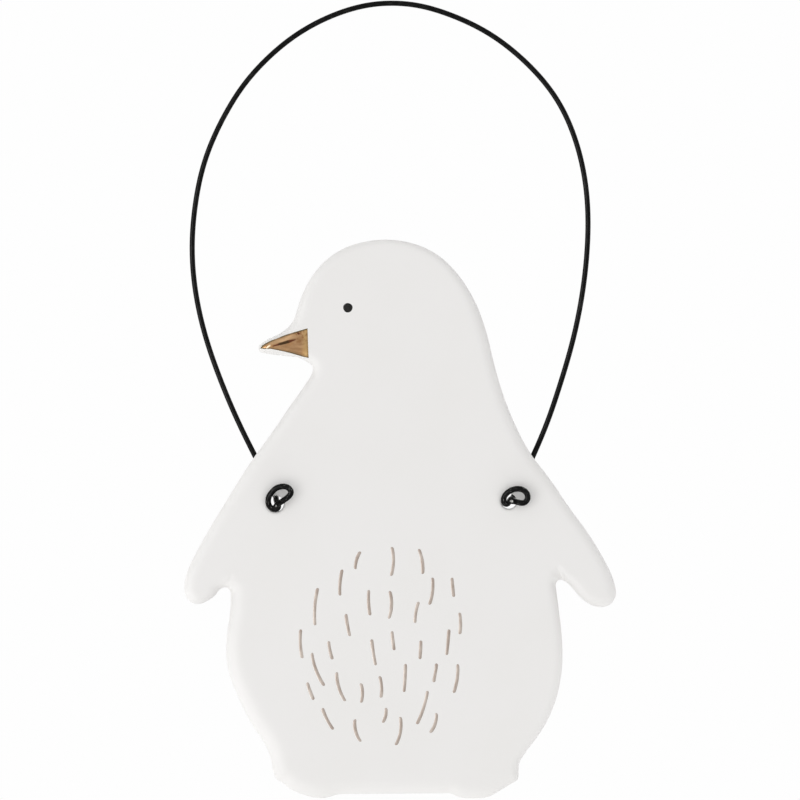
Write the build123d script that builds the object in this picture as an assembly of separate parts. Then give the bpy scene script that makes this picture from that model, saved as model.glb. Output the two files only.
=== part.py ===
from build123d import *

import os
from math import cos, degrees, radians, sin, sqrt, tan

# A flat porcelain penguin that hangs from one bent wire.
# The origin is the hanging point, on the underside of the wire's arch. +Z is up and the
# figure faces -Y. The figure swings on the wire about the line through its two holes.

# Sizes of the porcelain figure
figure_width = 86.6
figure_height = 112.0
figure_thickness = 5.0
edge_rounding = 0.75
back_bevel = 0.35
hole_spacing = 46.5
rim_bevel = 0.6

# Sizes of the wire hanger
wire_diameter = 1.0
bend_radius = 1.4
hole_play = 2.0
arch_width = 79.2
arch_height = 99.4
left_curl_width = 4.8
left_curl_height = 4.7
right_curl_width = 5.0
right_curl_height = 3.0

# How far the figure's head tips forward, in degrees, and the gaps left at the two stops
swing_angle = 15.0
back_gap = 0.15
curl_gap = 0.2

# Sizes of the fired-on decoration
decoration_thickness = 0.12
eye_diameter = 1.7
stroke_width = 0.5
plumage_width = 32.0
plumage_height = 39.6

# Sizes that follow from those above
wire_radius = wire_diameter / 2
half_thickness = figure_thickness / 2
half_arch_width = arch_width / 2
hole_radius = (wire_diameter + hole_play) / 2
hole_height_share = 0.529
shoulder_rise_share = 0.107
feet_z = -arch_height - hole_height_share * figure_height
contact_drop = arch_height - shoulder_rise_share * figure_height
arch_lean = (half_thickness + wire_radius + back_gap) / contact_drop
curl_depth = half_thickness + wire_radius + curl_gap
swing = radians(swing_angle)

# The wire's round section has this many flats, and each bend takes this share of the
# shorter run beside it.
wire_sides = 10
bend_reach_share = 0.47

# The outline runs clockwise as seen from the front. Each node is a share of the figure's
# width from the middle, a share of its height from the feet, and the heading of the edge
# there in degrees: 0 runs to the right, 90 runs up, and 45 climbs one share for each share
# that it runs across, so the outline keeps its character at any width and height.
outline_shares = [
    # crown, back of the head and nape
    (-0.017, 1.001, 0), (0.205, 0.864, -65), (0.244, 0.751, -70),
    # right shoulder and the flipper's outer edge
    (0.298, 0.646, -58), (0.386, 0.547, -49), (0.471, 0.451, -52),
    # the flipper's tip and inner edge, up to the armpit
    (0.479, 0.342, 178), (0.423, 0.367, 137), (0.376, 0.381, -80),
    # right flank, hip and toes
    (0.392, 0.256, -91), (0.356, 0.138, -119), (0.291, 0.056, -103), (0.281, 0.031, -157),
    (0.177, 0.000, 180), (0.108, 0.010, 180),
    # hem, left toes, hip and flank
    (-0.112, 0.009, 180), (-0.165, 0.000, 180), (-0.232, 0.014, 161), (-0.261, 0.031, 161),
    (-0.279, 0.055, 98), (-0.344, 0.158, 123), (-0.387, 0.263, 90),
    # left armpit, the flipper's inner edge and tip
    (-0.378, 0.366, 91), (-0.389, 0.377, -177), (-0.421, 0.357, -155), (-0.453, 0.347, 178),
    (-0.485, 0.377, 87),
    # the flipper's outer edge, shoulder and throat
    (-0.455, 0.445, 55), (-0.207, 0.740, 49), (-0.189, 0.766, 75), (-0.207, 0.784, 156),
    # beak and forehead
    (-0.3015, 0.7965, 171), (-0.3115, 0.806, 90), (-0.3055, 0.814, 27), (-0.232, 0.859, 62),
    (-0.157, 0.964, 34),
]

# The gilded front of the beak, written as the outline is.
gilding_shares = [
    (-0.197, 0.840, -90), (-0.197, 0.788, 180), (-0.226, 0.7975, 173), (-0.290, 0.8035, 172),
    (-0.290, 0.811, 27), (-0.227, 0.835, 14),
]

# The eye's place, and the middle of the plumage's lower edge, on the figure
eye_place_share = (-0.106, 0.877)
plumage_place_share = (-0.031, 0.096)

# Feather strokes: where each starts and ends, as shares of the plumage's width and height
# from that middle, and how far it bows to the right, as a share of its length.
stroke_shares = [
    (-0.123, 0.975, -0.154, 0.889, -0.07), (0.075, 0.998, 0.070, 0.855, 0.07),
    (0.244, 0.988, 0.268, 0.865, 0.06), (-0.235, 0.884, -0.249, 0.756, -0.04),
    (0.329, 0.843, 0.309, 0.710, 0.06), (0.451, 0.843, 0.462, 0.749, -0.01),
    (-0.388, 0.791, -0.405, 0.606, -0.04), (-0.069, 0.781, -0.061, 0.656, -0.03),
    (0.062, 0.776, 0.056, 0.639, 0.08), (0.241, 0.721, 0.219, 0.618, -0.04),
    (0.498, 0.667, 0.499, 0.561, 0.04), (-0.211, 0.660, -0.187, 0.551, -0.02),
    (-0.494, 0.582, -0.484, 0.440, -0.04), (0.076, 0.573, 0.090, 0.480, -0.01),
    (0.431, 0.582, 0.417, 0.456, 0.01), (-0.319, 0.523, -0.296, 0.434, -0.03),
    (0.256, 0.526, 0.250, 0.435, 0.01), (-0.051, 0.532, -0.026, 0.404, -0.01),
    (-0.423, 0.464, -0.347, 0.301, -0.06), (0.160, 0.408, 0.151, 0.269, 0.01),
    (0.354, 0.410, 0.336, 0.319, 0.01), (0.486, 0.407, 0.461, 0.265, 0.05),
    (-0.269, 0.366, -0.216, 0.223, -0.07), (-0.001, 0.346, 0.007, 0.241, 0.06),
    (-0.452, 0.315, -0.413, 0.230, -0.02), (-0.119, 0.310, -0.117, 0.215, 0.08),
    (0.297, 0.272, 0.231, 0.107, 0.04), (0.038, 0.186, 0.018, 0.114, 0.08),
    (-0.357, 0.185, -0.290, 0.080, -0.04), (0.352, 0.160, 0.314, 0.064, 0.10),
    (-0.154, 0.129, -0.119, 0.019, -0.10), (0.127, 0.141, 0.099, 0.001, 0.09),
]

# The arch's corners from left to right, as shares of half its width and of its height.
# The crown's run between the two halves is level.
arch_left_shares = [
    (-0.816, 0.814), (-0.969, 0.655), (-1.037, 0.462), (-0.936, 0.268), (-0.657, 0.100),
]
arch_right_shares = [
    (0.663, 0.097), (0.949, 0.263), (0.997, 0.457), (0.930, 0.650), (0.803, 0.819),
]
crown_reach_share = 0.24

# Where the wire turns into a hole behind the figure and out of it in front, as shares of
# the hole's radius across and up from its middle.
left_entry_share, left_exit_share = (-0.27, 0.95), (0.29, -0.78)
right_entry_share, right_exit_share = (0.50, 0.77), (-0.60, -0.55)

# Each curl's corners after its way out of the hole: shares of the curl's width and height
# across and up from the hole's middle, and of the wire's diameter outwards.
left_curl_shares = [
    (-0.398, -0.249, 0.30), (-0.338, 0.402, 0.50), (0.048, 0.738, 0.80), (0.590, 0.730, 1.10),
    (0.592, 0.249, 1.20), (-0.012, -0.128, 1.25),
]
right_curl_shares = [
    (-0.300, 0.333, 0.25), (-0.060, 0.790, 0.45), (0.352, 0.967, 0.60), (0.708, 0.760, 0.70),
    (0.752, 0.053, 0.75), (0.484, -0.113, 0.75), (0.064, 0.060, 0.70),
]


def on_figure(x_share, z_share):
    """A place on the figure's face, from shares of its width and height."""
    return Vector(x_share * figure_width, feet_z + z_share * figure_height)


def heading_on_figure(heading):
    """The direction of a heading given in shares of the figure's width and height."""
    turn = radians(heading)
    return Vector(cos(turn) * figure_width, sin(turn) * figure_height).normalized()


def two_arcs(start, leaving, end, arriving):
    """Two arcs that meet smoothly between two nodes and pass each along its direction."""
    chord = end - start
    along = chord.dot(leaving + arriving)
    spread = 2 * (1 - leaving.dot(arriving)) * chord.dot(chord)
    reach = chord.dot(chord) / (along + sqrt(along * along + spread))
    middle = (start + end + (leaving - arriving) * reach) / 2
    return [
        TangentArc(start, middle, tangent=leaving),
        TangentArc(end, middle, tangent=-arriving),
    ]


def closed_curve(nodes):
    """A face whose edge passes the nodes along their headings, in smoothly joined arcs."""
    places = [on_figure(x_share, z_share) for x_share, z_share, heading in nodes]
    ways = [heading_on_figure(heading) for x_share, z_share, heading in nodes]
    edges = []
    for i in range(len(nodes)):
        edges += two_arcs(places[i - 1], ways[i - 1], places[i], ways[i])
    return make_face(edges)


def through_figure(drawing):
    """A drawing made as thick as the figure, about its middle plane."""
    return extrude(Plane.XZ * drawing, amount=half_thickness, both=True)


def on_front(drawing):
    """A drawing laid on the figure's face as a thin fired-on layer."""
    return extrude(Plane.XZ.offset(half_thickness) * drawing, amount=decoration_thickness)


def front_of(plate):
    """The flat front face of the plaque."""
    return plate.faces().sort_by(Axis.Y)[0]


def back_of(plate):
    """The flat back face of the plaque."""
    return plate.faces().sort_by(Axis.Y)[-1]


def make_body():
    """The porcelain plaque: rounded in front, bevelled behind, a hole in each shoulder."""
    plate = through_figure(closed_curve(outline_shares))
    plate = fillet(front_of(plate).edges(), edge_rounding)
    plate = chamfer(back_of(plate).edges(), back_bevel)
    for side in (-1, 1):
        plate -= through_figure(Pos(side * hole_spacing / 2, -arch_height) * Circle(hole_radius))
    rims = front_of(plate).inner_wires() + back_of(plate).inner_wires()
    return chamfer([rim.edge() for rim in rims], rim_bevel)


def make_gilding():
    """The gilded front of the beak."""
    return on_front(closed_curve(gilding_shares))


def make_eye():
    """The round eye."""
    return on_front(Pos(on_figure(*eye_place_share)) * Circle(eye_diameter / 2))


def stroke_outline(start, end, bow):
    """A bowed stroke of even width with a pointed tip at each end."""
    along = (end - start).normalized()
    sideways = Vector(-along.Y, along.X)
    across = sideways * stroke_width / 2
    first, last = start + along * stroke_width / 2, end - along * stroke_width / 2
    middle = (first + last) / 2 + sideways * bow
    near_side = [first + across, middle + across, last + across]
    far_side = [last - across, middle - across, first - across]
    return make_face(Polyline(start, *near_side, end, *far_side, close=True))


def make_strokes():
    """The feather strokes on the belly."""
    middle = on_figure(*plumage_place_share)
    strokes = []
    for x_start, z_start, x_end, z_end, bow_share in stroke_shares:
        start = middle + Vector(x_start * plumage_width, z_start * plumage_height)
        end = middle + Vector(x_end * plumage_width, z_end * plumage_height)
        outline = stroke_outline(start, end, bow_share * (end - start).length)
        strokes.append(on_front(outline))
    return Compound(children=strokes)


def bend_at(before, corner, after, tight):
    """An arc round a corner, as wide as the runs allow unless the corner is a tight one."""
    into, out = corner - before, after - corner
    half_turn = radians(into.get_angle(out)) / 2
    radius = min(into.length, out.length) * bend_reach_share / tan(half_turn)
    if tight:
        radius = min(radius, bend_radius)
    reach = radius * tan(half_turn)
    inward = (out.normalized() - into.normalized()).normalized()
    middle = corner + inward * (radius / cos(half_turn) - radius)
    return ThreePointArc(corner - into.normalized() * reach, middle, corner + out.normalized() * reach)


def bent_wire(corners, tight_corners):
    """The wire's centreline, straight runs joined by arcs."""
    edges = []
    last = corners[0]
    for before, corner, after in zip(corners, corners[1:], corners[2:]):
        bend = bend_at(before, corner, after, corner in tight_corners)
        edges += [Line(last, bend @ 0), bend]
        last = bend @ 1
    edges.append(Line(last, corners[-1]))
    return edges


def behind(x, z):
    """A place on the leaning plane of the arch, behind the figure."""
    return Vector(x, -arch_lean * z, z)


def in_front(x, z, lift):
    """A place on a curl, whose back rests on the face when the head tips fully forward."""
    rise = z + arch_height
    depth = curl_depth + lift
    return Vector(x, -(depth + rise * sin(swing)) / cos(swing), z)


def curl_corners(side, entry_share, exit_share, width, height, shares):
    """The wire's corners from behind one hole, through it, and round its curl."""
    x_hole, z_hole = side * hole_spacing / 2, -arch_height
    corners = [
        behind(x_hole + entry_share[0] * hole_radius, z_hole + entry_share[1] * hole_radius),
        in_front(x_hole + exit_share[0] * hole_radius, z_hole + exit_share[1] * hole_radius, 0),
    ]
    for x_share, z_share, lift_share in shares:
        x, z = x_hole + x_share * width, z_hole + z_share * height
        corners.append(in_front(x, z, lift_share * wire_diameter))
    return corners


def arch_corners():
    """The corners of the arch from left to right, with a level run at its crown."""
    reach = crown_reach_share * half_arch_width
    crown = [behind(-reach, wire_radius), behind(reach, wire_radius)]
    sides = [
        [behind(x_share * half_arch_width, -z_share * arch_height) for x_share, z_share in shares]
        for shares in (arch_left_shares, arch_right_shares)
    ]
    return sides[0] + crown + sides[1]


def along_edge(section, edge):
    """A section carried along a straight run or round an arc."""
    if edge.geom_type == GeomType.LINE:
        return extrude(section, amount=edge.length, dir=edge % 0)
    outwards = edge @ 0 - edge.arc_center
    axis = Axis(edge.arc_center, outwards.cross(edge % 0))
    return revolve(section, axis, degrees(edge.length / edge.radius))


def make_wire():
    """The hanger, one wire from the end of the left curl to the end of the right one."""
    left = curl_corners(-1, left_entry_share, left_exit_share, left_curl_width,
                        left_curl_height, left_curl_shares)
    right = curl_corners(1, right_entry_share, right_exit_share, right_curl_width,
                         right_curl_height, right_curl_shares)
    edges = bent_wire(left[::-1] + arch_corners() + right, (left[0], right[0]))
    first = edges[0]
    section = Plane(first @ 0, z_dir=first % 0) * RegularPolygon(wire_radius, wire_sides)
    area = section.area
    runs = []
    for edge in edges:
        run = along_edge(section, edge)
        section = run.faces().sort_by_distance(edge @ 1)[0]
        runs.append(run)
    wire = runs[0].fuse(*runs[1:])
    length = sum(edge.length for edge in edges)
    print("wire length", round(length, 1), "volume over section",
          round(wire.volume / (area * length), 4))
    return wire


os.makedirs("parts", exist_ok=True)
pieces = {
    "penguin_body": make_body(),
    "hanger_wire": make_wire(),
    "beak_gilding": make_gilding(),
    "eye_dot": make_eye(),
    "belly_feathers": make_strokes(),
}
for name, piece in pieces.items():
    export_step(piece, f"parts/{name}.step")
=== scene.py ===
"""Dresses the hanging porcelain penguin and its wire hanger for a render.

The figure is a flat pressed plaque with softly pillowed edges, pierced by two
holes in its shoulders. One black-coated wire stands over it as an arch, passes
through the holes from behind and ends in a curl in front of each one. The beak
is gilded, the eye is a dot of enamel and the belly carries short lustre strokes.
"""

from __future__ import annotations

import logging
import math
from dataclasses import dataclass, field
from enum import Enum
from typing import Any, Callable, Iterable, Mapping, Sequence

import bpy
import numpy as np
from mathutils.geometry import delaunay_2d_cdt
from mathutils.kdtree import KDTree
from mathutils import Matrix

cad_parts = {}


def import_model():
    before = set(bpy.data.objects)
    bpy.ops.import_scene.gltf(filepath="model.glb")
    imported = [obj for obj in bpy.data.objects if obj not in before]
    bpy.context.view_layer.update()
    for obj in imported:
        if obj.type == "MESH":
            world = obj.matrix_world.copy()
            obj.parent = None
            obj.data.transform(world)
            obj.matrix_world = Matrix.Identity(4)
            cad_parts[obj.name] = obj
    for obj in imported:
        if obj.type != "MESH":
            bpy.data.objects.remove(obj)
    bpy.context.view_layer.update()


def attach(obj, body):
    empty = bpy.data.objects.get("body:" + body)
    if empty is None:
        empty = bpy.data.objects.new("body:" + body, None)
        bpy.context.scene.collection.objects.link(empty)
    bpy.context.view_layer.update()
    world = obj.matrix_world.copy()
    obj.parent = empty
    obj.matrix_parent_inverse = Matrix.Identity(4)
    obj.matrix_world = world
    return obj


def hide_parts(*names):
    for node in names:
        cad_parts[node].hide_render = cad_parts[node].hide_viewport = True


log = logging.getLogger("penguin")

MM = 0.001
TINY = 1e-6
SURROUNDING_WHITE = 0.991
PURE_WHITE = (1.0, 1.0, 1.0, 1.0)
Pair = tuple[float, float]
Triple = tuple[float, float, float]
Colour = tuple[float, float, float]
Sample = tuple[np.ndarray, np.ndarray]
Faces = list[list[int]]


class Slot(Enum):
    """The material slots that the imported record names."""

    PORCELAIN = "bisque_porcelain"
    WIRE = "black_wire"
    GOLD = "gold_lustre"
    ENAMEL = "black_enamel"
    BRONZE = "bronze_lustre"


class Side(Enum):
    """The two shoulders, as the sign of their place across the figure."""

    LEFT = -1
    RIGHT = 1


# Shader maths


def linear(red: float, green: float, blue: float) -> tuple[float, float, float, float]:
    """Turns a screen colour into the linear one that a shader takes.

    Args:
        red: Red from 0 to 255.
        green: Green from 0 to 255.
        blue: Blue from 0 to 255.

    Returns:
        The linear colour with an alpha of 1.
    """
    shares = [channel / 255 for channel in (red, green, blue)]
    bright = [s / 12.92 if s <= 0.04045 else ((s + 0.055) / 1.055) ** 2.4 for s in shares]
    return (bright[0], bright[1], bright[2], 1.0)


def operator(operation: str, reflected: bool = False) -> Callable[[Signal, Any], Signal]:
    """Makes an operator on values.

    Args:
        operation: The Math node's operation.
        reflected: Whether the signal comes second.

    Returns:
        A method that adds one Math node.
    """

    def method(signal: Signal, other: Any = 0.0) -> Signal:
        """Adds the node."""
        first, second = (other, signal) if reflected else (signal, other)
        return signal.graph.node("ShaderNodeMath", {"operation": operation}, {0: first, 1: second})

    return method


class Signal:
    """An output socket that can be used in an expression on values."""

    __add__, __radd__ = operator("ADD"), operator("ADD", reflected=True)
    __sub__, __rsub__ = operator("SUBTRACT"), operator("SUBTRACT", reflected=True)
    __mul__, __rmul__ = operator("MULTIPLY"), operator("MULTIPLY", reflected=True)
    __truediv__, __rtruediv__ = operator("DIVIDE"), operator("DIVIDE", reflected=True)
    __abs__ = operator("ABSOLUTE")
    most = operator("MAXIMUM")

    def __init__(self, graph: Graph, socket: bpy.types.NodeSocket) -> None:
        """Keeps the socket and the graph that it belongs to."""
        self.graph = graph
        self.socket = socket

    def rise(self, start: float, end: float) -> Signal:
        """Goes smoothly from 0 at start to 1 at end.

        Args:
            start: The value at which the result is 0.
            end: The value at which the result is 1.

        Returns:
            The smooth step.
        """
        sockets = {0: self, 1: start, 2: end, 3: 0.0, 4: 1.0}
        return self.graph.node("ShaderNodeMapRange", {"interpolation_type": "SMOOTHSTEP"}, sockets)

    def fall(self, start: float, end: float) -> Signal:
        """Goes smoothly from 1 at start to 0 at end."""
        return 1.0 - self.rise(start, end)

    def within(self, rising: Pair, falling: Pair) -> Signal:
        """Rises to 1 over the first stretch and falls to 0 over the second."""
        return self.rise(*rising) * self.fall(*falling)


class Graph:
    """The node tree of one material or of the world."""

    def __init__(self, tree: bpy.types.NodeTree) -> None:
        """Empties the tree and keeps it."""
        self.tree = tree
        tree.nodes.clear()

    def node(
        self,
        kind: str,
        settings: Mapping[str, Any] | None = None,
        sockets: Mapping[str | int, Any] | None = None,
        out: str | int = 0,
    ) -> Signal:
        """Adds one node.

        Args:
            kind: The node's type.
            settings: Its properties, set first.
            sockets: The values or links of its inputs, by name or number.
            out: The output that is handed back.

        Returns:
            The chosen output, or the first input of a node that has no output.
        """
        made = self.tree.nodes.new(kind)
        for name, value in (settings or {}).items():
            setattr(made, name, value)
        for name, value in (sockets or {}).items():
            self._feed(made.inputs[name], value)
        return Signal(self, made.outputs[out] if made.outputs else made.inputs[0])

    def _feed(self, socket: bpy.types.NodeSocket, value: Any) -> None:
        """Links a signal to a socket, or writes a plain value on it.

        Args:
            socket: The input.
            value: The signal or the value.
        """
        if isinstance(value, Signal):
            self.tree.links.new(value.socket, socket)
        else:
            socket.default_value = value

    def mix(self, share: Signal | float, first: Signal | Colour, second: Signal | Colour) -> Signal:
        """Mixes two colours.

        Args:
            share: 0 for the first and 1 for the second.
            first: A signal or a screen colour.
            second: A signal or a screen colour.

        Returns:
            The mixed colour.
        """
        a, b = (colour if isinstance(colour, Signal) else linear(*colour) for colour in (first, second))
        settings = {"data_type": "RGBA", "clamp_factor": True}
        return self.node("ShaderNodeMix", settings, {0: share, 6: a, 7: b}, out=2)

    def place(self, output: str = "Object") -> Signal:
        """Gives one of the texture coordinates."""
        return self.node("ShaderNodeTexCoord", out=output)

    def stretched(self, place: Signal, scale: Triple, turn: float = 0.0) -> Signal:
        """Scales a coordinate differently along its three axes.

        Args:
            place: The coordinate.
            scale: The scale along x, y and z.
            turn: How far the coordinate is turned about y first, in radians.

        Returns:
            The scaled coordinate.
        """
        sockets = {"Vector": place, "Rotation": (0.0, turn, 0.0), "Scale": scale}
        return self.node("ShaderNodeMapping", {"vector_type": "POINT"}, sockets)

    def noise(self, place: Signal, scale: float, detail: float = 2.0, rough: float = 0.5) -> Signal:
        """Gives soft noise from 0 to 1 at a place."""
        sockets = {"Vector": place, "Scale": scale, "Detail": detail, "Roughness": rough}
        return self.node("ShaderNodeTexNoise", {"noise_dimensions": "3D"}, sockets)

    def part(self, place: Signal, axis: str) -> Signal:
        """Gives one component of a coordinate."""
        return self.node("ShaderNodeSeparateXYZ", sockets={0: place}, out=axis)

    def bump(self, height: Signal, depth: float, strength: float) -> Signal:
        """Turns a height from 0 to 1 into a normal, with its depth in metres."""
        sockets = {"Height": height, "Distance": depth, "Strength": strength}
        return self.node("ShaderNodeBump", sockets=sockets)


# Finishes


@dataclass(frozen=True)
class Finish:
    """What every finish shares: its constants and the way a material is made of it.

    The roughness is a least value and what the grain adds to it. The relief is the
    depth of the grain in metres and how strongly it shows.
    """

    name: str
    metallic: float = 0.0
    specular: float = 0.5
    roughness: Pair = (0.5, 0.1)
    relief: Pair = (0.00003, 0.5)

    def material(self) -> bpy.types.Material:
        """Makes the material.

        Returns:
            A material with its nodes.
        """
        made = bpy.data.materials.new(self.name)
        made.use_nodes = True
        graph = Graph(made.node_tree)
        graph.node("ShaderNodeOutputMaterial", sockets={"Surface": self.surface(graph)})
        return made

    def surface(self, graph: Graph) -> Signal:
        """Gives the surface shader.

        Args:
            graph: The material's graph.

        Returns:
            The shader's output.
        """
        colour, grain, height = self.pattern(graph)
        least, spread = self.roughness
        sockets = {
            "Base Color": colour,
            "Metallic": self.metallic,
            "Roughness": least + spread * grain,
            "Specular IOR Level": self.specular,
            "Normal": graph.bump(height, *self.relief),
        }
        return graph.node("ShaderNodeBsdfPrincipled", sockets=sockets)

    def pattern(self, graph: Graph) -> tuple[Signal, Signal, Signal]:
        """Gives the colour, the grain that roughens the surface and the height of its relief."""
        raise NotImplementedError


@dataclass(frozen=True)
class BisquePorcelain(Finish):
    """Unglazed white porcelain, rubbed smooth, with a faint bloom and fine grain."""

    specular: float = 0.35
    roughness: Pair = (0.55, 0.1)
    relief: Pair = (0.00006, 0.35)
    white: Colour = (234, 232.5, 231)
    shade: Colour = (233, 231.5, 229.5)
    bloom_scale: float = 60.0
    grain_scale: float = 2600.0
    ripple_scale: float = 180.0
    grain_share: float = 0.35
    bloom_rise: Pair = (0.35, 0.75)

    def pattern(self, graph: Graph) -> tuple[Signal, Signal, Signal]:
        """Gives the colour, the grain and the height.

        Args:
            graph: The material's graph.

        Returns:
            The mottled white, its fine grain, and the grain on a slow ripple.
        """
        place = graph.place()
        bloom = graph.noise(place, self.bloom_scale, 3.0)
        grain = graph.noise(place, self.grain_scale, 2.0, 0.6)
        ripple = graph.noise(place, self.ripple_scale, 1.0)
        colour = graph.mix(bloom.rise(*self.bloom_rise), self.white, self.shade)
        return colour, grain, grain * self.grain_share + ripple * (1 - self.grain_share)


@dataclass(frozen=True)
class CoatedWire(Finish):
    """Black satin coating on steel wire, with fine lighter draw lines that are partly painted sheen,
    and light scuffs at the curls that are partly scraped coating and partly painted highlights.
    """

    specular: float = 0.07
    roughness: Pair = (0.24, 0.16)
    black: Colour = (6, 6, 6)
    worn_sheen: Colour = (34, 34, 33)
    scuff_highlight: Colour = (140, 139, 136)
    line_scale: Triple = (9.0, 260.0, 1.0)
    fleck_scale: Triple = (17.0, 330.0, 1.0)
    drift_scale: float = 260.0
    line_share: float = 0.7
    streak_rise: Pair = (0.44, 0.72)
    fleck_rise: Pair = (0.6, 0.7)
    fleck_share: float = 0.7
    curl_top: float = -0.0945
    curl_fade: float = 0.004

    def pattern(self, graph: Graph) -> tuple[Signal, Signal, Signal]:
        """Gives the colour, the grain and the height.

        Args:
            graph: The material's graph.

        Returns:
            The black with its lighter draw lines, partly painted sheen, and its light flecks at the curls,
            partly scraped coating and partly painted highlights; and the draw lines twice.
        """
        along = graph.place("UV")
        place = graph.place()
        lines = graph.noise(graph.stretched(along, self.line_scale), 1.0, 3.0, 0.6)
        drift = graph.noise(place, self.drift_scale, 2.0)
        streaks = lines * self.line_share + drift * (1 - self.line_share)
        highlight_flecks = graph.noise(graph.stretched(along, self.fleck_scale), 1.0, 2.0, 0.6).rise(*self.fleck_rise)
        near_curls = graph.part(place, "Z").fall(self.curl_top, self.curl_top + self.curl_fade)
        # The lighter draw lines are partly wear along the wire and partly painted sheen.
        coating = graph.mix(streaks.rise(*self.streak_rise), self.black, self.worn_sheen)
        # Light flecks near the curls: partly scraped coating, partly painted highlights.
        return graph.mix(highlight_flecks * near_curls * self.fleck_share, coating, self.scuff_highlight), lines, lines


@dataclass(frozen=True)
class CutSteel(Finish):
    """Bare steel where the cutter went through the wire."""

    metallic: float = 0.85
    roughness: Pair = (0.34, 0.2)
    relief: Pair = (0.00003, 0.6)
    grey: Colour = (142, 142, 139)
    dark: Colour = (90, 89, 87)
    drag_scale: float = 4000.0

    def pattern(self, graph: Graph) -> tuple[Signal, Signal, Signal]:
        """Gives the colour, the grain and the height."""
        drag = graph.noise(graph.stretched(graph.place(), (1.0, 1.0, 4.0)), self.drag_scale, 2.0)
        return graph.mix(drag, self.grey, self.dark), drag, drag


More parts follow.
